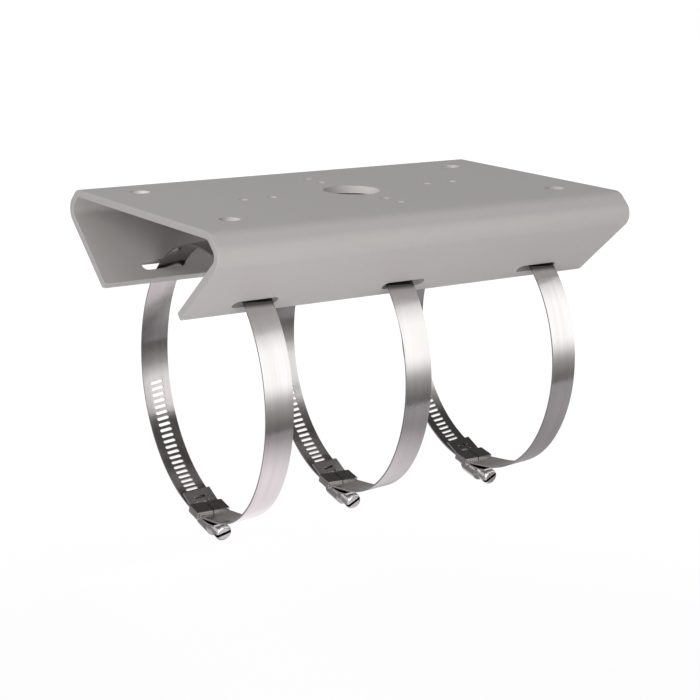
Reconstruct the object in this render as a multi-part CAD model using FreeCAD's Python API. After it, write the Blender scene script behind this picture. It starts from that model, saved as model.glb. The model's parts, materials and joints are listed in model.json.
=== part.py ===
import FreeCAD, Part
import math
import os

# A camera bracket: a folded steel plate with three worm-drive band clamps
# hanging in slots along its two flanges. Millimetres, X along the plate,
# Z up, the origin at the middle of the plate's top face.

os.makedirs("parts", exist_ok=True)

# Plate sheet and its folded section
plate_length = 190.0
plate_thickness = 3.0
top_half_width = 51.1
bend_inner_radius = 3.0
shoulder_bend = 43.5
shoulder_width = 3.8
flange_bend = 95.5
flange_width = 35.0
flange_corner_radius = 1.3
edge_softness = 0.4

# Holes in the plate's top
centre_hole_diameter = 23.0
corner_hole_diameter = 8.0
corner_spacing_x = 152.4
corner_spacing_y = 70.2
screw_hole_diameter = 3.6
inner_spacing_x = 74.0
outer_spacing_x = 100.0
inner_spacing_y = 46.0
outer_spacing_y = 66.0

# Strap slots in the flanges
slot_pitch = 66.4
slot_length = 19.4
slot_height = 4.8
slot_edge_distance = 7.0

# Clamp band
band_width = 12.7
band_thickness = 0.65
crown_radius = 51.6
crown_past_slot = 7.6
front_flattening = 5.7
front_side_end = 123.7
back_flattening = 2.9
clip_kink = 18.4
layer_clearance = 0.06
tongue_length = 8.6
tongue_lift = 14.0
tail_radius = 28.0
tail_angle = 24.0
tail_straight = 0.3

# Perforations of the band
perforation_pitch = 2.54
perforation_length = 5.8
perforation_width = 1.3
perforation_slant = 8.0
perforation_start = -13.9

# Clamp housing
housing_angle = -79.5
housing_sheet = 0.7
housing_fit = 0.05
tab_length = 7.3
tab_start = 0.45
seam_width = 0.4
shoulder_clearance = 0.3
barrel_head_run = 3.2
barrel_far_inset = 0.5
barrel_rounding = 1.6

# Clamp screw
screw_core_radius = 2.2
thread_radius = 3.4
thread_dip = 0.3
thread_clearance = 0.3
neck_radius = 1.8
neck_fit = 0.05
collar_radius = 2.8
collar_length = 2.6
collar_gap = 0.1
head_radius = 3.35
head_length = 4.3
head_dome = 1.1
head_slot_width = 0.9
head_slot_depth = 1.5

# Each clamp: how far its loop is moved from its slots and how it is turned
clamp_names = ("left", "middle", "right")
clamp_side = (-1, 0, 1)
clamp_shift_x = (1.7, -1.5, 2.1)
clamp_shift_y = (-1.45, 0.2, -1.4)
clamp_shift_z = (0.1, 1.25, 0.0)
clamp_yaw = (-2.0, -1.7, 0.0)
clamp_pitch = (0.1, -0.6, -0.2)
band_skew = (8.0, 6.8, 5.7)
screw_turn = (-15.0, -32.0, -32.0)

# Values that follow from the sizes above
bend_outer_radius = bend_inner_radius + plate_thickness
flange_turn = math.radians(shoulder_bend + flange_bend)
band_half = band_thickness / 2.0
strip_seat = 0.0
plain_seat = strip_seat - band_thickness - layer_clearance
screw_seat = strip_seat + band_half - thread_dip + thread_radius
front_radius = crown_radius + front_flattening
back_radius = crown_radius + back_flattening


def vector(x, y, z):
    return FreeCAD.Vector(x, y, z)


def plate_edge(inset):
    """Points and arcs of the section's right half, inset from the outer face."""
    points = [(0.0, -inset)]
    arcs = []
    heading = 0.0
    at = (top_half_width, -inset)
    points.append(at)
    radius = bend_outer_radius - inset
    for bend, run in ((shoulder_bend, shoulder_width), (flange_bend, flange_width)):
        start = heading
        heading = heading - math.radians(bend)
        centre = (at[0] + radius * math.sin(start), at[1] - radius * math.cos(start))
        middle = (start + heading) / 2.0
        through = (centre[0] - radius * math.sin(middle), centre[1] + radius * math.cos(middle))
        end = (centre[0] - radius * math.sin(heading), centre[1] + radius * math.cos(heading))
        arcs.append((at, through, end))
        at = (end[0] + run * math.cos(heading), end[1] + run * math.sin(heading))
        points.append(end)
        points.append(at)
    return points, arcs


def section_point(pair, side):
    return vector(-plate_length / 2.0, side * pair[0], pair[1])


def half_section_edges(inset, side):
    points, arcs = plate_edge(inset)
    at = [section_point(pair, side) for pair in points]
    through = [section_point(arc[1], side) for arc in arcs]
    return [
        Part.LineSegment(at[0], at[1]).toShape(),
        Part.Arc(at[1], through[0], at[2]).toShape(),
        Part.LineSegment(at[2], at[3]).toShape(),
        Part.Arc(at[3], through[1], at[4]).toShape(),
        Part.LineSegment(at[4], at[5]).toShape(),
    ]


def flange_end(inset):
    points, arcs = plate_edge(inset)
    return points[-1]


def flange_frame(side):
    """Placement on a flange at its lower edge: X along the plate, Y up the flange, Z out of it."""
    heading = -flange_turn
    up = vector(0.0, -side * math.cos(heading), -math.sin(heading))
    out = vector(0.0, -side * math.sin(heading), math.cos(heading))
    along = up.cross(out)
    outer = flange_end(0.0)
    base = vector(0.0, side * outer[0], outer[1])
    return FreeCAD.Placement(base, FreeCAD.Rotation(along, up, out, "XYZ"))


def obround(length, height, depth):
    """A slot-shaped prism centred on the origin, through Z = 0 both ways."""
    half = length / 2.0 - height / 2.0
    low = vector(0.0, 0.0, -depth / 2.0)
    block = Part.makeBox(2.0 * half, height, depth, vector(-half, -height / 2.0, -depth / 2.0))
    first = Part.makeCylinder(height / 2.0, depth, low + vector(-half, 0.0, 0.0))
    second = Part.makeCylinder(height / 2.0, depth, low + vector(half, 0.0, 0.0))
    return block.fuse(first).fuse(second).removeSplitter()


def make_plate():
    edges = []
    for side in (1, -1):
        edges = edges + half_section_edges(0.0, side)
        edges = edges + half_section_edges(plate_thickness, side)
        outer = flange_end(0.0)
        inner = flange_end(plate_thickness)
        edges.append(Part.LineSegment(section_point(outer, side), section_point(inner, side)).toShape())
    wire = Part.Wire(Part.__sortEdges__(edges))
    plate = Part.Face(wire).extrude(vector(plate_length, 0.0, 0.0))
    tools = []
    deep = 4.0 * plate_thickness
    for side in (1, -1):
        frame = flange_frame(side)
        for step in clamp_side:
            tool = obround(slot_length, slot_height, deep)
            place = FreeCAD.Placement(vector(step * slot_pitch, slot_edge_distance, 0.0), FreeCAD.Rotation())
            tool.Placement = frame.multiply(place)
            tools.append(tool)
    rounds = [
        (0.0, 0.0, centre_hole_diameter),
        (corner_spacing_x / 2.0, corner_spacing_y / 2.0, corner_hole_diameter),
        (-corner_spacing_x / 2.0, corner_spacing_y / 2.0, corner_hole_diameter),
        (corner_spacing_x / 2.0, -corner_spacing_y / 2.0, corner_hole_diameter),
        (-corner_spacing_x / 2.0, -corner_spacing_y / 2.0, corner_hole_diameter),
    ]
    for spacing in (inner_spacing_x, outer_spacing_x):
        rounds.append((spacing / 2.0, 0.0, screw_hole_diameter))
        rounds.append((-spacing / 2.0, 0.0, screw_hole_diameter))
    for spacing in (inner_spacing_y, outer_spacing_y):
        rounds.append((0.0, spacing / 2.0, screw_hole_diameter))
        rounds.append((0.0, -spacing / 2.0, screw_hole_diameter))
    for x, y, diameter in rounds:
        tools.append(Part.makeCylinder(diameter / 2.0, deep, vector(x, y, -deep / 2.0)))
    plate = plate.cut(Part.makeCompound(tools))
    plate = plate.Solids[0]
    corners = []
    limit = plate_length / 2.0 - 0.01
    lowest = max(flange_end(0.0)[1], flange_end(plate_thickness)[1]) + 0.01
    for edge in plate.Edges:
        ends = [vertex.Point for vertex in edge.Vertexes]
        if len(ends) == 2 and all(abs(point.x) > limit and point.z < lowest for point in ends):
            if (ends[0] - ends[1]).Length < plate_thickness * 1.01:
                corners.append(edge)
    plate = plate.makeFillet(flange_corner_radius, corners)
    rims = []
    for edge in plate.Edges:
        box = edge.BoundBox
        on_end = min(abs(box.XMin), abs(box.XMax)) > limit
        middle = edge.valueAt((edge.FirstParameter + edge.LastParameter) / 2.0)
        if on_end and edge.Length > plate_thickness * 1.01:
            rims.append(edge)
        elif box.ZMax < lowest and edge.Length > plate_length / 2.0:
            rims.append(edge)
        elif abs(middle.x) > limit - flange_corner_radius and box.ZMax < lowest + flange_corner_radius:
            if not on_end and abs(edge.Length - flange_corner_radius * math.pi / 2.0) < 0.01:
                rims.append(edge)
    plate = plate.makeFillet(edge_softness, rims)
    return plate


def polar(centre, radius, degrees):
    angle = math.radians(degrees)
    return centre + vector(0.0, radius * math.cos(angle), radius * math.sin(angle))


def middle_of_slot():
    """The middle of a strap slot in the back flange, as its Y and Z."""
    outer = flange_end(0.0)
    inner = flange_end(plate_thickness)
    up_flange_y = -math.cos(-flange_turn) * slot_edge_distance
    up_flange_z = -math.sin(-flange_turn) * slot_edge_distance
    return (outer[0] + inner[0]) / 2.0 + up_flange_y, (outer[1] + inner[1]) / 2.0 + up_flange_z


# The loop is a crown arc through both slots, an arc down each side and a foot
# that runs into the clip. Its origin is the crown's centre, and angles are in
# the YZ plane from +Y.
origin = vector(0.0, 0.0, 0.0)
crown_half_span = math.degrees(math.asin(middle_of_slot()[0] / crown_radius)) + crown_past_slot
front_centre = polar(origin, crown_radius - front_radius, 90.0 + crown_half_span)
back_centre = polar(origin, crown_radius - back_radius, 90.0 - crown_half_span)
seat_point = polar(back_centre, back_radius, housing_angle)
outward = polar(origin, 1.0, housing_angle)
toward_tongue = polar(origin, 1.0, housing_angle + 90.0)


def ring_point(s, q):
    """A point in the loop's plane from its place along the screw and its distance out."""
    return seat_point + toward_tongue * s + outward * (q - strip_seat)


def band_edges(offset, skew):
    """The band's path, moved outward by an offset, from the tongue's tip round to the tail's tip."""
    # the band is straight a little past the tabs, as far as its skew needs
    past = band_width / 2.0 * math.sin(math.radians(skew)) + 2.0 * housing_fit
    lift = math.radians(tongue_lift)
    plain = plain_seat + offset
    strip = strip_seat + offset
    half_lift = math.tan(lift / 2.0)
    bend_s = past - tab_start
    tip_s = bend_s + (tongue_length - past) * math.cos(lift)
    tip_q = plain_seat - (tongue_length - past) * math.sin(lift)
    tip = ring_point(tip_s + offset * math.sin(lift), tip_q + offset * math.cos(lift))
    knee = ring_point(bend_s + offset * half_lift, plain)
    # the plain part leaves the clip at a kink, inward, and its foot meets the front side
    leave_s = -tab_start - tab_length - past
    leave = ring_point(leave_s - offset * math.tan(math.radians(clip_kink / 2.0)), plain)
    side_end = 90.0 + front_side_end
    foot_end = 360.0 + housing_angle - clip_kink
    side_foot = polar(front_centre, front_radius, side_end)
    side_out = polar(origin, 1.0, side_end)
    foot_out = polar(origin, 1.0, foot_end)
    reach = (ring_point(leave_s, plain_seat) - side_foot).dot(foot_out)
    foot_radius = reach / (1.0 - side_out.dot(foot_out))
    foot_centre = side_foot - side_out * foot_radius
    foot = polar(foot_centre, foot_radius + offset, foot_end)
    foot_middle = polar(foot_centre, foot_radius + offset, (foot_end + side_end) / 2.0)
    front_foot = polar(front_centre, front_radius + offset, side_end)
    crown_front = 90.0 + crown_half_span
    front_middle = polar(front_centre, front_radius + offset, (side_end + crown_front) / 2.0)
    front_top = polar(origin, crown_radius + offset, crown_front)
    top = polar(origin, crown_radius + offset, 90.0)
    crown_back = 90.0 - crown_half_span
    back_top = polar(origin, crown_radius + offset, crown_back)
    back_middle = polar(back_centre, back_radius + offset, (crown_back + housing_angle) / 2.0)
    seat = polar(back_centre, back_radius + offset, housing_angle)
    turn_s = -tab_start - tab_length - tail_straight
    turn = ring_point(turn_s, strip)
    tail_centre_q = strip_seat - tail_radius
    half = math.radians(tail_angle / 2.0)
    full = math.radians(tail_angle)
    curl = tail_radius + offset
    tail_middle = ring_point(turn_s - curl * math.sin(half), tail_centre_q + curl * math.cos(half))
    tail_end = ring_point(turn_s - curl * math.sin(full), tail_centre_q + curl * math.cos(full))
    edges = [
        Part.LineSegment(tip, knee).toShape(),
        Part.LineSegment(knee, leave).toShape(),
        Part.LineSegment(leave, foot).toShape(),
        Part.Arc(foot, foot_middle, front_foot).toShape(),
        Part.Arc(front_foot, front_middle, front_top).toShape(),
        Part.Arc(front_top, top, back_top).toShape(),
        Part.Arc(back_top, back_middle, seat).toShape(),
        Part.LineSegment(seat, turn).toShape(),
        Part.Arc(turn, tail_middle, tail_end).toShape(),
    ]
    return edges, tip, tail_end


def perforation(frame):
    tool = obround(perforation_length, perforation_width, 6.0 * band_thickness)
    tool.Placement = frame
    return tool


def make_band(skew):
    inner, inner_tip, inner_tail = band_edges(-band_half, skew)
    outer, outer_tip, outer_tail = band_edges(band_half, skew)
    edges = inner + outer
    edges.append(Part.LineSegment(inner_tip, outer_tip).toShape())
    edges.append(Part.LineSegment(inner_tail, outer_tail).toShape())
    wire = Part.Wire(Part.__sortEdges__(edges))
    face = Part.Face(wire)
    across = toward_tongue * math.sin(math.radians(skew))
    across = (across + vector(math.cos(math.radians(skew)), 0.0, 0.0)) * band_width
    face.translate(across * -0.5)
    band = face.extrude(across)
    tools = []
    slant = FreeCAD.Rotation(vector(0.0, 0.0, 1.0), perforation_slant)
    step = math.degrees(perforation_pitch / back_radius)
    count = int((perforation_start - housing_angle) / step) + 1
    for index in range(count):
        angle = perforation_start - index * step
        away = polar(origin, 1.0, angle)
        along = polar(origin, 1.0, angle + 90.0)
        turn = FreeCAD.Rotation(vector(1.0, 0.0, 0.0), along, away, "XYZ").multiply(slant)
        tools.append(perforation(FreeCAD.Placement(polar(back_centre, back_radius, angle), turn)))
    # the same pitch goes on along the straight part under the screw
    reached = (perforation_start - (count - 1) * step - housing_angle) * math.radians(1.0) * back_radius
    at = reached - perforation_pitch
    last = -tab_start - tab_length - tail_straight
    turn = FreeCAD.Rotation(vector(1.0, 0.0, 0.0), toward_tongue, outward, "XYZ").multiply(slant)
    while at > last:
        tools.append(perforation(FreeCAD.Placement(ring_point(at, strip_seat), turn)))
        at = at - perforation_pitch
    return band.cut(Part.makeCompound(tools)).Solids[0]


def along_screw(shape):
    """Moves a shape built along +X with +Z outward to the screw's place in the loop."""
    across = outward.cross(toward_tongue)
    moved = shape.copy()
    turn = FreeCAD.Rotation(toward_tongue, across, outward, "XYZ")
    moved.Placement = FreeCAD.Placement(ring_point(0.0, 0.0), turn)
    return moved


def block(s_from, s_to, half, q_from, q_to):
    return Part.makeBox(s_to - s_from, 2.0 * half, q_to - q_from, vector(s_from, -half, q_from))


def rod(s_from, s_to, radius):
    return Part.makeCylinder(radius, s_to - s_from, vector(s_from, 0.0, screw_seat), vector(1.0, 0.0, 0.0))


def make_housing():
    clip_far = -tab_start
    clip_head = clip_far - tab_length
    barrel_far = clip_far - barrel_far_inset
    barrel_head = clip_head - barrel_head_run
    inner_half = band_width / 2.0 + housing_fit
    outer_half = inner_half + housing_sheet
    tab_outer = plain_seat - band_half - housing_fit
    tab_inner = tab_outer - housing_sheet
    under = strip_seat + band_half + shoulder_clearance
    over = under + housing_sheet
    bore = thread_radius + thread_clearance
    barrel = bore + housing_sheet
    clip = block(clip_head, clip_far, outer_half, tab_inner, over)
    neck = block(clip_head, barrel_far, barrel, under, screw_seat)
    outer = rod(barrel_head, barrel_far, barrel)
    far_rims = [edge for edge in outer.Edges if edge.BoundBox.XMin > barrel_far - 0.01]
    outer = outer.makeFillet(barrel_rounding, far_rims)
    body = clip.fuse(neck).fuse(outer)
    inside = block(clip_head - 1.0, clip_far + 1.0, inner_half, tab_outer, under)
    bore_start = barrel_head + housing_sheet
    bore_end = barrel_far - housing_sheet
    inside = inside.fuse(block(bore_start, bore_end, bore, under, screw_seat))
    inside = inside.fuse(rod(bore_start, bore_end, bore))
    seam = block(clip_head - 1.0, clip_far + 1.0, seam_width / 2.0, tab_inner - 1.0, tab_outer + 0.1)
    hole = rod(barrel_head - 1.0, barrel_head + 2.0 * housing_sheet, neck_radius + neck_fit)
    below = block(barrel_head - 1.0, clip_head, outer_half, tab_inner - 1.0, under)
    body = body.cut(inside).cut(seam).cut(hole).cut(below)
    return along_screw(body.Solids[0])


def make_screw(turn):
    clip_head = -tab_start - tab_length
    barrel_far = -tab_start - barrel_far_inset
    barrel_head = clip_head - barrel_head_run
    core_far = barrel_far - housing_sheet - collar_gap
    core_near = barrel_head + housing_sheet + collar_gap
    collar_near = barrel_head - collar_gap
    collar_far = collar_near - collar_length
    head_far = collar_far - head_length
    core = rod(core_near, core_far, screw_core_radius)
    neck = rod(collar_near - 0.1, core_near + 0.1, neck_radius)
    collar = Part.makeCone(head_radius, collar_radius, collar_length, vector(collar_far, 0.0, screw_seat),
                           vector(1.0, 0.0, 0.0))
    head = rod(head_far, collar_far, head_radius)
    face_rims = [edge for edge in head.Edges if edge.BoundBox.XMax < head_far + 0.01]
    head = head.makeFillet(head_dome, face_rims)
    slot = Part.makeBox(head_slot_depth + 1.0, 4.0 * head_radius, head_slot_width,
                        vector(head_far - 1.0, -2.0 * head_radius, screw_seat - head_slot_width / 2.0))
    slot.rotate(vector(0.0, 0.0, screw_seat), vector(1.0, 0.0, 0.0), turn)
    screw = core.fuse(neck).fuse(collar).fuse(head).cut(slot)
    return along_screw(screw.removeSplitter().Solids[0])


def clamp_placement(index):
    slot_y, slot_z = middle_of_slot()
    drop = math.sqrt(crown_radius * crown_radius - slot_y * slot_y)
    base = vector(clamp_side[index] * slot_pitch + clamp_shift_x[index], clamp_shift_y[index],
                  slot_z - drop + clamp_shift_z[index])
    yaw = math.radians(clamp_yaw[index])
    pitch = math.radians(clamp_pitch[index])
    axis = vector(math.cos(yaw) * math.cos(pitch), math.sin(yaw) * math.cos(pitch), math.sin(pitch))
    up = vector(0.0, 0.0, 1.0) - axis * axis.z
    up.normalize()
    return FreeCAD.Placement(base, FreeCAD.Rotation(axis, up.cross(axis), up, "XYZ"))


make_plate().exportStep("parts/bracket_plate.step")
housing_shape = make_housing()
for index, name in enumerate(clamp_names):
    place = clamp_placement(index)
    band_shape = make_band(band_skew[index])
    screw_shape = make_screw(screw_turn[index])
    pieces = (("band", band_shape), ("housing", housing_shape), ("screw", screw_shape))
    for piece, shape in pieces:
        placed = shape.copy()
        placed.Placement = place.multiply(placed.Placement)
        placed.exportStep("parts/%s_clamp_%s.step" % (name, piece))
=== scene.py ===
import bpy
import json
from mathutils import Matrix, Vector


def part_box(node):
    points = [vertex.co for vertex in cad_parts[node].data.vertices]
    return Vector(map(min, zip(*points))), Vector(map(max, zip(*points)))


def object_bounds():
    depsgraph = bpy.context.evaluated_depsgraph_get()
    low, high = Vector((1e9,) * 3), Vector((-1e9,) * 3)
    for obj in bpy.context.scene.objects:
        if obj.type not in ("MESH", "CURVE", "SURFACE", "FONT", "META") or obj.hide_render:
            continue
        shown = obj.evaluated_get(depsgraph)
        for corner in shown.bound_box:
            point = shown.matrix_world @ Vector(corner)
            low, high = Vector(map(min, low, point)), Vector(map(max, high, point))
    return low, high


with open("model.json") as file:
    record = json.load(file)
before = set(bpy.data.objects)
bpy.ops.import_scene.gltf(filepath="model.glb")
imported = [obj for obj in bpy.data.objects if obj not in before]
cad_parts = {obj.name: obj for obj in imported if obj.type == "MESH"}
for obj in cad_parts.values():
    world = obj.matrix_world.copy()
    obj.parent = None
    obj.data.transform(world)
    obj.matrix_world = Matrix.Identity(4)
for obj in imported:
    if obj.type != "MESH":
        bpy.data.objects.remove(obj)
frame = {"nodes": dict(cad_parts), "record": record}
cad_box = [list(corner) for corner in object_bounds()]

import json
import math

import bpy
from mathutils import Matrix, Quaternion, Vector

bl_info = {
    "name": "Camera Bracket Finish",
    "version": (1, 0, 0),
    "blender": (4, 5, 0),
    "location": "3D View > Sidebar > Bracket",
    "description": "Coats the folded bracket, finishes its band clamps and sets a plain studio round it",
    "category": "Object",
}

SIDES = ("left", "middle", "right")
STEPS = ("bracket.stage", "bracket.plate", "bracket.bands", "bracket.housings", "bracket.screws")

# The camera of the photo: millimetres for the lens, degrees for the turns, metres for the place
CAMERA_LENS = 86.617
CAMERA_AZIMUTH = -34.026
CAMERA_ELEVATION = 14.292
CAMERA_ROLL = 0.898
CAMERA_PLACE = (-0.373314, -0.553576, 0.104148)

# The floor: its edge, its glow from near the object to far from it, and what metal shows of it front to back
FLOOR_SIZE = 8.0
FLOOR_ROUGHNESS = 0.9
FLOOR_GLOW = 1.07
GLOW_SHARE = (0.82, 1.0)
GLOW_REACH = (0.25, 1.1)
MIRRORED_SHARE = 0.96
MIRRORED_DEPTH = (-0.12, 0.1)
MIRRORED_LEVEL = (0.95, 0.3)

# Tones of the floor in metal, the room and the overhead light, and the cards' warmth and height off the floor
WHITE = (1.0, 1.0, 1.0)
COOL_FLOOR = (1.0, 0.945, 0.99)
WARM_ROOM = (1.0, 0.985, 0.965)
COOL_TOP = (0.88, 0.94, 1.18)
CARD_WARMTH = 0.08
CARD_LIFT = 0.002

# The coat: patches to a metre and how far they stray in tone, and the painted light that makes the walls of
# the top's holes paler
COAT_PATCHES = 260.0
COAT_TONES = (0.965, 1.035)
WALL_DEPTH = 0.0031
WALL_UPRIGHT = 0.3
PAINTED_LIGHT_SIDE = (-0.85, -0.53, 0.0)
WALL_PAINTED_LIGHT = 2.1
END_MARGIN = 0.001

# The bands: marks to a metre along the strip, tones, gloss and relief, and the painted shade in and between
# the slots
BAND_STREAKS = 22.0
BAND_STAINS = 14.0
BAND_CLOUDS = 160.0
BAND_TONES = (0.93, 1.05)
BAND_ROUGHNESS = (0.12, 0.22)
BAND_RELIEF = 0.0000012
STAIN = (0.8, 0.78, 0.765)
SLOT_REACH = 0.0028
SLOT_FADE = 0.0022
SLOT_PAINTED_SHADE = 0.22
CHANNEL_PAINTED_SHADE = 0.55

# The housings and screws: marks to a metre, tones, gloss and relief, and the painted shade in the slot of a
# screw's head
STEEL_MARKS = 700.0
STEEL_TONES = (0.85, 1.08)
STEEL_RELIEF = 0.00002
HOUSING_ROUGHNESS = (0.16, 0.3)
SCREW_ROUGHNESS = (0.18, 0.34)
SQUARE_TO_AXIS = 0.99
HEAD_SLOT_HALF = 0.00062
HEAD_SLOT_DEPTHS = (0.001, 0.002)
HEAD_SLOT_MARGIN = 0.0003
HEAD_SLOT_PAINTED_SHADE = 0.06

mounts = {mount["name"]: mount for mount in frame["record"]["mounts"]}
joints = {joint["name"]: joint for joint in frame["record"]["behaviour"]["joints"]}
slot_y, slot_z = mounts["back_strap_slots"]["pos_m"][1:]
slot_normal_y, slot_normal_z = mounts["back_strap_slots"]["axis"][1:]


# Small helpers for node trees and objects


def new_material(name):
    material = bpy.data.materials.new(name)
    material.use_nodes = True
    tree = material.node_tree
    shader = tree.nodes["Principled BSDF"]
    return material, tree, shader


def add(tree, kind, **values):
    node = tree.nodes.new(kind)
    for key, value in values.items():
        if key in node.inputs:
            node.inputs[key].default_value = value
        else:
            setattr(node, key, value)
    return node


def object_place(tree, scale=(1.0, 1.0, 1.0)):
    coordinates = add(tree, "ShaderNodeTexCoord")
    mapping = add(tree, "ShaderNodeMapping")
    mapping.inputs["Scale"].default_value = scale
    tree.links.new(coordinates.outputs["Object"], mapping.inputs["Vector"])
    return mapping.outputs["Vector"]


def noise(tree, place, scale, detail, roughness):
    texture = add(tree, "ShaderNodeTexNoise", Scale=scale, Detail=detail, Roughness=roughness)
    tree.links.new(place, texture.inputs["Vector"])
    return texture.outputs["Fac"]


def spread(tree, value, low, high, start=0.0, end=1.0, kind="LINEAR"):
    """Maps the span from start to end to the span from low to high."""
    ranged = add(tree, "ShaderNodeMapRange", interpolation_type=kind)
    for key, number in (("From Min", start), ("From Max", end), ("To Min", low), ("To Max", high)):
        ranged.inputs[key].default_value = number
    tree.links.new(value, ranged.inputs["Value"])
    return ranged.outputs["Result"]


def feed(tree, socket, value):
    """Gives a socket a fixed value, or links a node's output to it."""
    if isinstance(value, bpy.types.NodeSocket):
        tree.links.new(value, socket)
    else:
        socket.default_value = value


def arithmetic(tree, value, operation, second=None):
    """A step of arithmetic; a comparison gives 1 where it holds, else 0."""
    node = add(tree, "ShaderNodeMath", operation=operation)
    tree.links.new(value, node.inputs[0])
    if second is not None:
        feed(tree, node.inputs[1], second)
    return node.outputs["Value"]


def vector_arithmetic(tree, value, operation, second=None):
    """A step of arithmetic on vectors; a length or a dot product comes out as a number."""
    node = add(tree, "ShaderNodeVectorMath", operation=operation)
    tree.links.new(value, node.inputs[0])
    if second is not None:
        feed(tree, node.inputs[1], second)
    return node.outputs["Value" if operation in ("LENGTH", "DOT_PRODUCT") else "Vector"]


def product(tree, shares):
    total = shares[0]
    for share in shares[1:]:
        total = arithmetic(tree, total, "MULTIPLY", share)
    return total


def blend_colours(tree, value, first, second, kind="MIX"):
    """Mixes two colours by a value; each of the three is fixed or comes from a node."""
    mix = add(tree, "ShaderNodeMix", data_type="RGBA", blend_type=kind)
    feed(tree, mix.inputs[0], value)
    for socket, colour in ((mix.inputs[6], first), (mix.inputs[7], second)):
        feed(tree, socket, (*colour, 1.0) if isinstance(colour, tuple) else colour)
    return mix.outputs[2]


def change_tone(tree, colour, zone, factor):
    """Multiplies a colour by a factor where the zone is 1."""
    return blend_colours(tree, zone, colour, (factor, factor, factor), "MULTIPLY")


def shade(colour, factor):
    return tuple(max(0.0, min(1.0, part * factor)) for part in colour)


def bump(tree, shader, height, distance):
    node = add(tree, "ShaderNodeBump", Strength=1.0, Distance=distance)
    tree.links.new(height, node.inputs["Height"])
    tree.links.new(node.outputs["Normal"], shader.inputs["Normal"])


def give(obj, material):
    obj.data.materials.clear()
    obj.data.materials.append(material)


# Sizes and colours that a user would change


class PlateCoat(bpy.types.PropertyGroup):
    colour: bpy.props.FloatVectorProperty(
        name="Coat colour", description="Colour of the powder coat", subtype="COLOR", size=3,
        min=0.0, max=1.0, default=(0.418, 0.400, 0.390))
    grain: bpy.props.FloatProperty(
        name="Grain", description="Size of the powder coat's grains", subtype="DISTANCE", unit="LENGTH",
        default=0.0011, min=0.0002, max=0.01)
    grain_height: bpy.props.FloatProperty(
        name="Grain height", description="Height of the powder coat's grains", subtype="DISTANCE",
        unit="LENGTH", default=0.00006, min=0.0, max=0.001)
    roughness: bpy.props.FloatProperty(
        name="Roughness", description="How matt the coat is", subtype="FACTOR", default=0.52,
        min=0.0, max=1.0)


class ClampSteel(bpy.types.PropertyGroup):
    band_colour: bpy.props.FloatVectorProperty(
        name="Band colour", description="Colour of the rolled steel strip", subtype="COLOR", size=3,
        min=0.0, max=1.0, default=(0.69, 0.675, 0.672))
    housing_colour: bpy.props.FloatVectorProperty(
        name="Housing colour", description="Colour of the pressed housings", subtype="COLOR", size=3,
        min=0.0, max=1.0, default=(0.46, 0.445, 0.43))
    screw_colour: bpy.props.FloatVectorProperty(
        name="Screw colour", description="Colour of the plated screws", subtype="COLOR", size=3,
        min=0.0, max=1.0, default=(0.56, 0.55, 0.54))
    # painted shade: how far the strip's inner face is darkened against its outer one
    inner_painted_shade: bpy.props.FloatProperty(
        name="Inner face", description="How bright the strip's inner face is against its outer one",
        subtype="FACTOR", default=0.78, min=0.0, max=1.0)
    streak: bpy.props.FloatProperty(
        name="Streak width", description="Width of the rolling streaks along the bands", subtype="DISTANCE",
        unit="LENGTH", default=0.0004, min=0.00005, max=0.005)
    broad_streak: bpy.props.FloatProperty(
        name="Broad streak width", description="Width of the stains along the bands", subtype="DISTANCE",
        unit="LENGTH", default=0.003, min=0.0005, max=0.02)


class Studio(bpy.types.PropertyGroup):
    floor_drop: bpy.props.FloatProperty(
        name="Floor drop", description="How far the floor lies below the lowest screw", subtype="DISTANCE",
        unit="LENGTH", default=0.16, min=0.0, max=2.0)
    floor_colour: bpy.props.FloatVectorProperty(
        name="Floor colour", description="Colour of the plain floor", subtype="COLOR", size=3,
        min=0.0, max=1.0, default=(0.68, 0.66, 0.68))
    left_power: bpy.props.FloatProperty(
        name="Left light", description="Power of the light on the left", unit="POWER", default=3.6, min=0.0)
    bounce_power: bpy.props.FloatProperty(
        name="Bounce light", description="Power of the light that the floor throws up in front on the left",
        unit="POWER", default=2.6, min=0.0)
    top_power: bpy.props.FloatProperty(
        name="Top light", description="Power of the overhead light", unit="POWER", default=3.7, min=0.0)
    sky_level: bpy.props.FloatProperty(
        name="Room light", description="Strength of the light that comes from all round", default=0.66,
        min=0.0, max=5.0)


class BracketFinish(bpy.types.PropertyGroup):
    coat: bpy.props.PointerProperty(type=PlateCoat)
    steel: bpy.props.PointerProperty(type=ClampSteel)
    studio: bpy.props.PointerProperty(type=Studio)


# The studio: camera, lights, floor and world


def make_camera():
    data = bpy.data.cameras.new("photo_camera")
    data.sensor_width = 36.0
    data.lens = CAMERA_LENS
    camera = bpy.data.objects.new("photo_camera", data)
    bpy.context.scene.collection.objects.link(camera)
    azimuth = math.radians(CAMERA_AZIMUTH)
    elevation = math.radians(CAMERA_ELEVATION)
    roll = math.radians(CAMERA_ROLL)
    back = Vector((math.sin(azimuth) * math.cos(elevation), -math.cos(azimuth) * math.cos(elevation),
                   math.sin(elevation)))
    level = Vector((math.cos(azimuth), math.sin(azimuth), 0.0))
    upright = back.cross(level)
    right = level * math.cos(roll) + upright * math.sin(roll)
    up = upright * math.cos(roll) - level * math.sin(roll)
    place = Matrix.Identity(4)
    for row in range(3):
        place[row][0] = right[row]
        place[row][1] = up[row]
        place[row][2] = back[row]
    place.translation = CAMERA_PLACE
    camera.matrix_world = place
    data.clip_start = 0.05
    data.clip_end = 50.0
    bpy.context.scene.camera = camera


def soft_light(name, place, aim, width, height, power, colour=WHITE):
    data = bpy.data.lights.new(name, "AREA")
    data.shape = "RECTANGLE"
    data.size = width
    data.size_y = height
    data.energy = power
    data.color = colour
    light = bpy.data.objects.new(name, data)
    bpy.context.scene.collection.objects.link(light)
    light.location = place
    light.rotation_euler = (Vector(aim) - Vector(place)).to_track_quat("-Z", "Y").to_euler()
    light.visible_camera = False


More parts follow.
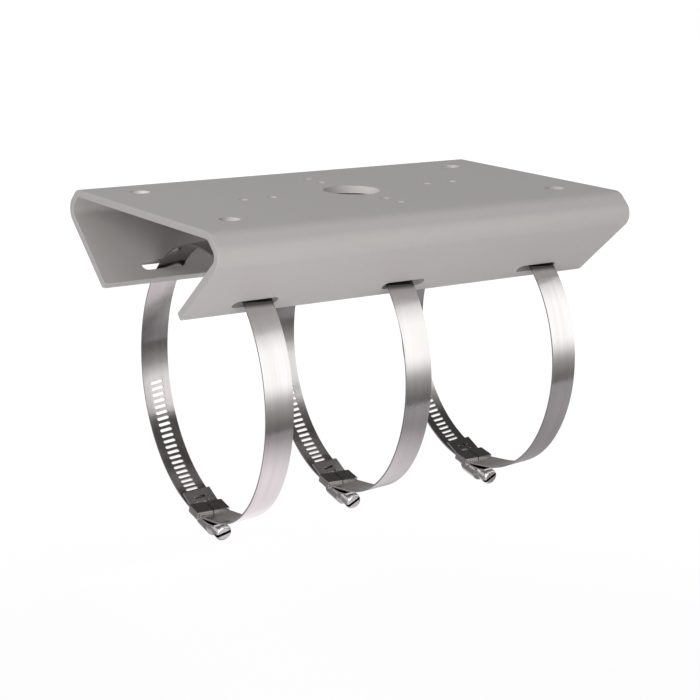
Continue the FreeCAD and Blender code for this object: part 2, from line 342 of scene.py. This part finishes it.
def background_share(tree, mirrored=1.0):
    """How far a ray shows the plain background: fully from the camera, by the given share off metal."""
    rays = add(tree, "ShaderNodeLightPath").outputs
    either = arithmetic(tree, rays["Is Glossy Ray"], "MAXIMUM", rays["Is Transmission Ray"])
    part = arithmetic(tree, either, "MULTIPLY", mirrored)
    return arithmetic(tree, part, "MAXIMUM", rays["Is Camera Ray"])


def make_world(studio):
    world = bpy.data.worlds.new("studio_world")
    bpy.context.scene.world = world
    world.use_nodes = True
    tree = world.node_tree
    tree.nodes.clear()
    output = add(tree, "ShaderNodeOutputWorld")
    seen = add(tree, "ShaderNodeBackground")
    seen.inputs["Color"].default_value = (*WHITE, 1.0)
    lit = add(tree, "ShaderNodeBackground")
    lit.inputs["Color"].default_value = (*WARM_ROOM, 1.0)
    lit.inputs["Strength"].default_value = studio.sky_level
    mix = add(tree, "ShaderNodeMixShader")
    tree.links.new(background_share(tree), mix.inputs["Fac"])
    tree.links.new(lit.outputs["Background"], mix.inputs[1])
    tree.links.new(seen.outputs["Background"], mix.inputs[2])
    tree.links.new(mix.outputs["Shader"], output.inputs["Surface"])


def make_floor(studio, low):
    bpy.ops.object.select_all(action="DESELECT")
    bpy.ops.mesh.primitive_plane_add(size=FLOOR_SIZE, location=(0.0, 0.0, low))
    floor = bpy.context.active_object
    floor.name = "studio_floor"
    material, tree, shader = new_material("pale_floor")
    shader.inputs["Base Color"].default_value = (*studio.floor_colour, 1.0)
    shader.inputs["Roughness"].default_value = FLOOR_ROUGHNESS
    glow = add(tree, "ShaderNodeEmission")
    coordinates = add(tree, "ShaderNodeTexCoord").outputs["Object"]
    # metal shows the floor in a cooler tone that falls off to the back
    seen = add(tree, "ShaderNodeLightPath").outputs["Is Camera Ray"]
    parts = add(tree, "ShaderNodeSeparateXYZ")
    tree.links.new(coordinates, parts.inputs["Vector"])
    tree.links.new(blend_colours(tree, seen, COOL_FLOOR, WHITE), glow.inputs["Color"])
    strength = add(tree, "ShaderNodeMix", data_type="FLOAT")
    strength.inputs[3].default_value = FLOOR_GLOW
    tree.links.new(seen, strength.inputs[0])
    tree.links.new(spread(tree, parts.outputs["Y"], *MIRRORED_LEVEL, *MIRRORED_DEPTH), strength.inputs[2])
    tree.links.new(strength.outputs[0], glow.inputs["Strength"])
    # near the object a little of the floor's own shading is left, for the shadow
    plain = spread(tree, vector_arithmetic(tree, coordinates, "LENGTH"), *GLOW_SHARE, *GLOW_REACH)
    share = arithmetic(tree, plain, "MULTIPLY", background_share(tree, MIRRORED_SHARE))
    mix = add(tree, "ShaderNodeMixShader")
    tree.links.new(share, mix.inputs["Fac"])
    tree.links.new(shader.outputs["BSDF"], mix.inputs[1])
    tree.links.new(glow.outputs["Emission"], mix.inputs[2])
    tree.links.new(mix.outputs["Shader"], tree.nodes["Material Output"].inputs["Surface"])
    give(floor, material)


def make_card(name, place, turn, width, height, levels, tint=None):
    """A studio card, turned by degrees, that only reflections show; its tone runs up through the levels."""
    bpy.ops.object.select_all(action="DESELECT")
    bpy.ops.mesh.primitive_plane_add(size=1.0, location=place)
    card = bpy.context.active_object
    card.name = name
    card.scale = (width, height, 1.0)
    card.rotation_euler = [math.radians(angle) for angle in turn]
    material = bpy.data.materials.new(name)
    material.use_nodes = True
    tree = material.node_tree
    tree.nodes.clear()
    parts = add(tree, "ShaderNodeSeparateXYZ")
    ramp = add(tree, "ShaderNodeValToRGB")
    tree.links.new(add(tree, "ShaderNodeTexCoord").outputs["Object"], parts.inputs["Vector"])
    tree.links.new(arithmetic(tree, parts.outputs["Y"], "ADD", 0.5), ramp.inputs["Fac"])
    stops = ramp.color_ramp.elements
    while len(stops) < len(levels):
        stops.new(0.5)
    for stop, (position, level) in zip(stops, levels):
        stop.position = position
        # a dark card is a little warm, a bright one plain
        warm = CARD_WARMTH * max(0.0, 1.0 - level)
        red, green, blue = tint or (1.0, 1.0 - 0.6 * warm, 1.0 - warm)
        stop.color = (level * red, level * green, level * blue, 1.0)
    glow = add(tree, "ShaderNodeEmission")
    output = add(tree, "ShaderNodeOutputMaterial")
    tree.links.new(ramp.outputs["Color"], glow.inputs["Color"])
    tree.links.new(glow.outputs["Emission"], output.inputs["Surface"])
    give(card, material)
    card.visible_camera = False
    card.visible_diffuse = False
    card.visible_shadow = False


# Materials


def painted_shade_zones(tree):
    """Two shares of painted shade on a band, 1 close to a flange's middle plane and 1 inside the channel;
    both fade to 0.
    """
    folded = vector_arithmetic(tree, add(tree, "ShaderNodeTexCoord").outputs["Object"], "ABSOLUTE")
    arm = vector_arithmetic(tree, folded, "SUBTRACT", (0.0, slot_y, -slot_z))
    off = vector_arithmetic(tree, arm, "DOT_PRODUCT", (0.0, slot_normal_y, -slot_normal_z))
    distance = arithmetic(tree, off, "ABSOLUTE")
    slots = spread(tree, distance, 1.0, 0.0, SLOT_REACH, SLOT_REACH + SLOT_FADE, "SMOOTHSTEP")
    channel = spread(tree, off, 1.0, 0.0, -SLOT_REACH, 0.0, "SMOOTHSTEP")
    return slots, channel


def hole_wall_painted_light(tree):
    """A share of painted light on the walls of the holes in the plate's top, highest where they face left and
    front.
    """
    coordinates = add(tree, "ShaderNodeTexCoord").outputs
    place = add(tree, "ShaderNodeSeparateXYZ")
    normal = add(tree, "ShaderNodeSeparateXYZ")
    tree.links.new(vector_arithmetic(tree, coordinates["Object"], "ABSOLUTE"), place.inputs["Vector"])
    tree.links.new(vector_arithmetic(tree, coordinates["Normal"], "ABSOLUTE"), normal.inputs["Vector"])
    facing = vector_arithmetic(tree, coordinates["Normal"], "DOT_PRODUCT", PAINTED_LIGHT_SIDE)
    upright = arithmetic(tree, normal.outputs["Z"], "LESS_THAN", WALL_UPRIGHT)
    away_from_ends = arithmetic(tree, place.outputs["X"], "LESS_THAN", cad_box[1][0] - END_MARGIN)
    in_the_top = arithmetic(tree, place.outputs["Z"], "LESS_THAN", WALL_DEPTH)
    return product(tree, (spread(tree, facing, 0.0, 1.0), upright, away_from_ends, in_the_top))


def powder_coat(coat):
    material, tree, shader = new_material("powder_coat")
    place = object_place(tree)
    fine = noise(tree, place, 1.0 / coat.grain, 4.0, 0.6)
    broad = noise(tree, place, COAT_PATCHES, 4.0, 0.7)
    shader.inputs["Roughness"].default_value = coat.roughness
    colour = blend_colours(tree, broad, *[shade(coat.colour, part) for part in COAT_TONES])
    # painted light: the walls of the top's holes are brightened where they face left and front
    tree.links.new(change_tone(tree, colour, hole_wall_painted_light(tree), WALL_PAINTED_LIGHT), shader.inputs["Base Color"])
    bump(tree, shader, fine, coat.grain_height)
    return material


def band_steel(steel, side):
    material, tree, shader = new_material(side + "_band_steel")
    streaks = object_place(tree, (1.0 / steel.streak, BAND_STREAKS, BAND_STREAKS))
    lines = noise(tree, streaks, 1.0, 3.0, 0.6)
    clouds = noise(tree, object_place(tree), BAND_CLOUDS, 3.0, 0.6)
    stains = object_place(tree, (1.0 / steel.broad_streak, BAND_STAINS, BAND_STAINS))
    broad = noise(tree, stains, 1.0, 2.0, 0.6)
    outer = blend_colours(tree, lines, *[shade(steel.band_colour, part) for part in BAND_TONES])
    # painted shade: the strip's inner face, towards the middle of the loop, is darker than its outer one
    coordinates = add(tree, "ShaderNodeTexCoord").outputs
    low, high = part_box(side + "_clamp_band")
    centre = [(low[axis] + high[axis]) / 2.0 for axis in range(3)]
    arm = vector_arithmetic(tree, coordinates["Object"], "SUBTRACT", centre)
    facing = vector_arithmetic(tree, arm, "DOT_PRODUCT", coordinates["Normal"])
    is_outer = arithmetic(tree, facing, "GREATER_THAN", 0.0)
    both = blend_colours(tree, is_outer, shade(steel.band_colour, steel.inner_painted_shade), outer)
    # stains along the strip, and painted shade in the channel and where the strip passes through the flanges'
    # slots
    stained = blend_colours(tree, 1.0, both, blend_colours(tree, broad, STAIN, WHITE), "MULTIPLY")
    slots, channel = painted_shade_zones(tree)
    in_slots = change_tone(tree, stained, slots, SLOT_PAINTED_SHADE)
    tree.links.new(change_tone(tree, in_slots, channel, CHANNEL_PAINTED_SHADE), shader.inputs["Base Color"])
    shader.inputs["Metallic"].default_value = 1.0
    tree.links.new(spread(tree, clouds, *BAND_ROUGHNESS), shader.inputs["Roughness"])
    bump(tree, shader, lines, BAND_RELIEF)
    return material


def slot_across(obj, axis):
    """The depth along the axis of the floor of a screw head's slot and the direction across the slot."""
    points = [vertex.co for vertex in obj.data.vertices]
    end = max(point.dot(axis) for point in points)
    nearest, farthest = HEAD_SLOT_DEPTHS
    faces = [face for face in obj.data.polygons
             if face.normal.dot(axis) > SQUARE_TO_AXIS and nearest < end - face.center.dot(axis) < farthest]
    corners = [points[index] for face in faces for index in face.vertices]

    def width(direction):
        runs = [corner.dot(direction) for corner in corners]
        return max(runs) - min(runs)

    side = axis.orthogonal().normalized()
    turns = [Quaternion(axis, math.radians(step)) @ side for step in range(180)]
    return faces[0].center.dot(axis), min(turns, key=width)


def inside_head_slot(tree, joint, obj):
    """1 in the slot of a screw's head, else 0."""
    axis = Vector(joint["axis"])
    depth, across = slot_across(obj, axis)
    floor = depth - Vector(joint["pos_m"]).dot(axis) - HEAD_SLOT_MARGIN
    coordinates = add(tree, "ShaderNodeTexCoord").outputs["Object"]
    arm = vector_arithmetic(tree, coordinates, "SUBTRACT", joint["pos_m"])
    shares = []
    for direction, kind, bound in ((axis, "GREATER_THAN", floor), (across, "LESS_THAN", HEAD_SLOT_HALF),
                                   (-across, "LESS_THAN", HEAD_SLOT_HALF)):
        run = vector_arithmetic(tree, arm, "DOT_PRODUCT", direction)
        shares.append(arithmetic(tree, run, kind, bound))
    return product(tree, shares)


def bright_steel(colour, name, roughness, joint=None, obj=None):
    """Plated steel; a screw's joint and object darken the slot in its head with painted shade."""
    material, tree, shader = new_material(name)
    marks = noise(tree, object_place(tree), STEEL_MARKS, 4.0, 0.6)
    mix = blend_colours(tree, marks, *[shade(colour, part) for part in STEEL_TONES])
    if joint:
        # painted shade in the slot of the screw's head
        mix = change_tone(tree, mix, inside_head_slot(tree, joint, obj), HEAD_SLOT_PAINTED_SHADE)
    tree.links.new(mix, shader.inputs["Base Color"])
    shader.inputs["Metallic"].default_value = 1.0
    tree.links.new(spread(tree, marks, *roughness), shader.inputs["Roughness"])
    bump(tree, shader, marks, STEEL_RELIEF)
    return material


# One operator for the stage and one for each group of pieces


class BRACKET_OT_stage(bpy.types.Operator):
    """Adds the camera, the soft lights, the world, the floor and what the metal reflects"""
    bl_idname = "bracket.stage"
    bl_label = "Studio"

    def execute(self, context):
        studio = context.scene.bracket_finish.studio
        low = cad_box[0][2] - studio.floor_drop
        make_camera()
        make_world(studio)
        make_floor(studio, low)
        middle = (0.0, 0.0, -0.08)
        soft_light("left_light", (-1.05, -0.1, 0.62), middle, 0.5, 0.5, studio.left_power)
        soft_light("bounce_light", (-0.2, -0.5, low + 0.03), (-0.02, -0.04, -0.03), 0.6, 0.3,
                   studio.bounce_power)
        soft_light("top_light", (0.0, 0.1, 1.5), middle, 1.2, 1.2, studio.top_power, COOL_TOP)
        # what metal shows: a bright wall in front on the right, a floor that darkens towards the object, the
        # floor on the right with the object's painted shadow, a dark wall behind on the right, and a ceiling
        # that is dark but for its front
        make_card("front_face", (0.96, -0.92, 0.46), (90.0, 0.0, 46.0), 1.7, 1.26,
                  ((0.0, 0.7), (0.07, 1.2), (0.16, 1.6), (0.6, 1.6), (0.72, 1.4), (0.84, 1.15), (0.92, 1.0),
                   (1.0, 0.8)))
        make_card("front_card", (0.0, -1.86, low + CARD_LIFT), (0.0, 0.0, 0.0), 6.0, 3.0,
                  ((0.0, 1.0), (0.5, 0.74), (0.82, 0.42), (0.92, 0.3), (1.0, 0.12)))
        # a sheet on the floor with a painted shadow of the object, shown only in reflections
        make_card("right_painted_shadow_card", (0.43, 0.0, low + CARD_LIFT), (0.0, 0.0, -90.0), 0.7, 0.8,
                  ((0.0, 1.0), (0.07, 1.2), (0.15, 0.8), (0.24, 0.36), (0.35, 0.45), (1.0, 0.45)), COOL_FLOOR)
        make_card("back_card", (1.0, 1.0, 0.2), (90.0, 0.0, -45.0), 1.9, 0.9,
                  ((0.0, 0.3), (0.5, 0.24), (1.0, 0.06)))
        make_card("ceiling_card", (0.2, 0.4, 0.95), (0.0, 0.0, 0.0), 3.4, 3.6,
                  ((0.0, 0.62), (0.2, 0.6), (0.28, 0.35), (0.36, 0.08), (1.0, 0.08)))
        return {"FINISHED"}


class BRACKET_OT_plate(bpy.types.Operator):
    """Coats the folded plate"""
    bl_idname = "bracket.plate"
    bl_label = "Plate"

    def execute(self, context):
        give(frame["nodes"]["bracket_plate"], powder_coat(context.scene.bracket_finish.coat))
        return {"FINISHED"}


class BRACKET_OT_bands(bpy.types.Operator):
    """Finishes the clamps' bands"""
    bl_idname = "bracket.bands"
    bl_label = "Bands"

    def execute(self, context):
        steel = context.scene.bracket_finish.steel
        for side in SIDES:
            give(frame["nodes"][side + "_clamp_band"], band_steel(steel, side))
        return {"FINISHED"}


class BRACKET_OT_housings(bpy.types.Operator):
    """Finishes the clamps' housings"""
    bl_idname = "bracket.housings"
    bl_label = "Housings"

    def execute(self, context):
        steel = context.scene.bracket_finish.steel
        material = bright_steel(steel.housing_colour, "housing_steel", HOUSING_ROUGHNESS)
        for side in SIDES:
            give(frame["nodes"][side + "_clamp_housing"], material)
        return {"FINISHED"}


class BRACKET_OT_screws(bpy.types.Operator):
    """Finishes the clamps' screws"""
    bl_idname = "bracket.screws"
    bl_label = "Screws"

    def execute(self, context):
        steel = context.scene.bracket_finish.steel
        for side in SIDES:
            obj = frame["nodes"][side + "_clamp_screw"]
            give(obj, bright_steel(steel.screw_colour, side + "_screw_steel", SCREW_ROUGHNESS,
                                   joints[side + "_screw_turn"], obj))
        return {"FINISHED"}


class BRACKET_PT_panel(bpy.types.Panel):
    """Lists the steps that finish the bracket"""
    bl_idname = "BRACKET_PT_panel"
    bl_label = "Bracket"
    bl_space_type = "VIEW_3D"
    bl_region_type = "UI"
    bl_category = "Bracket"

    def draw(self, context):
        for step in STEPS:
            self.layout.operator(step)
        for group in (context.scene.bracket_finish.coat, context.scene.bracket_finish.steel,
                      context.scene.bracket_finish.studio):
            for name in group.__annotations__:
                self.layout.prop(group, name)


CLASSES = (PlateCoat, ClampSteel, Studio, BracketFinish, BRACKET_OT_stage, BRACKET_OT_plate, BRACKET_OT_bands,
           BRACKET_OT_housings, BRACKET_OT_screws, BRACKET_PT_panel)


def register():
    for item in CLASSES:
        bpy.utils.register_class(item)
    bpy.types.Scene.bracket_finish = bpy.props.PointerProperty(type=BracketFinish)


def unregister():
    del bpy.types.Scene.bracket_finish
    for item in reversed(CLASSES):
        bpy.utils.unregister_class(item)


def main():
    register()
    bpy.context.scene.view_settings.view_transform = "Standard"
    bpy.ops.bracket.stage()
    bpy.ops.bracket.plate()
    bpy.ops.bracket.bands()
    bpy.ops.bracket.housings()
    bpy.ops.bracket.screws()


if __name__ == "__main__":
    main()
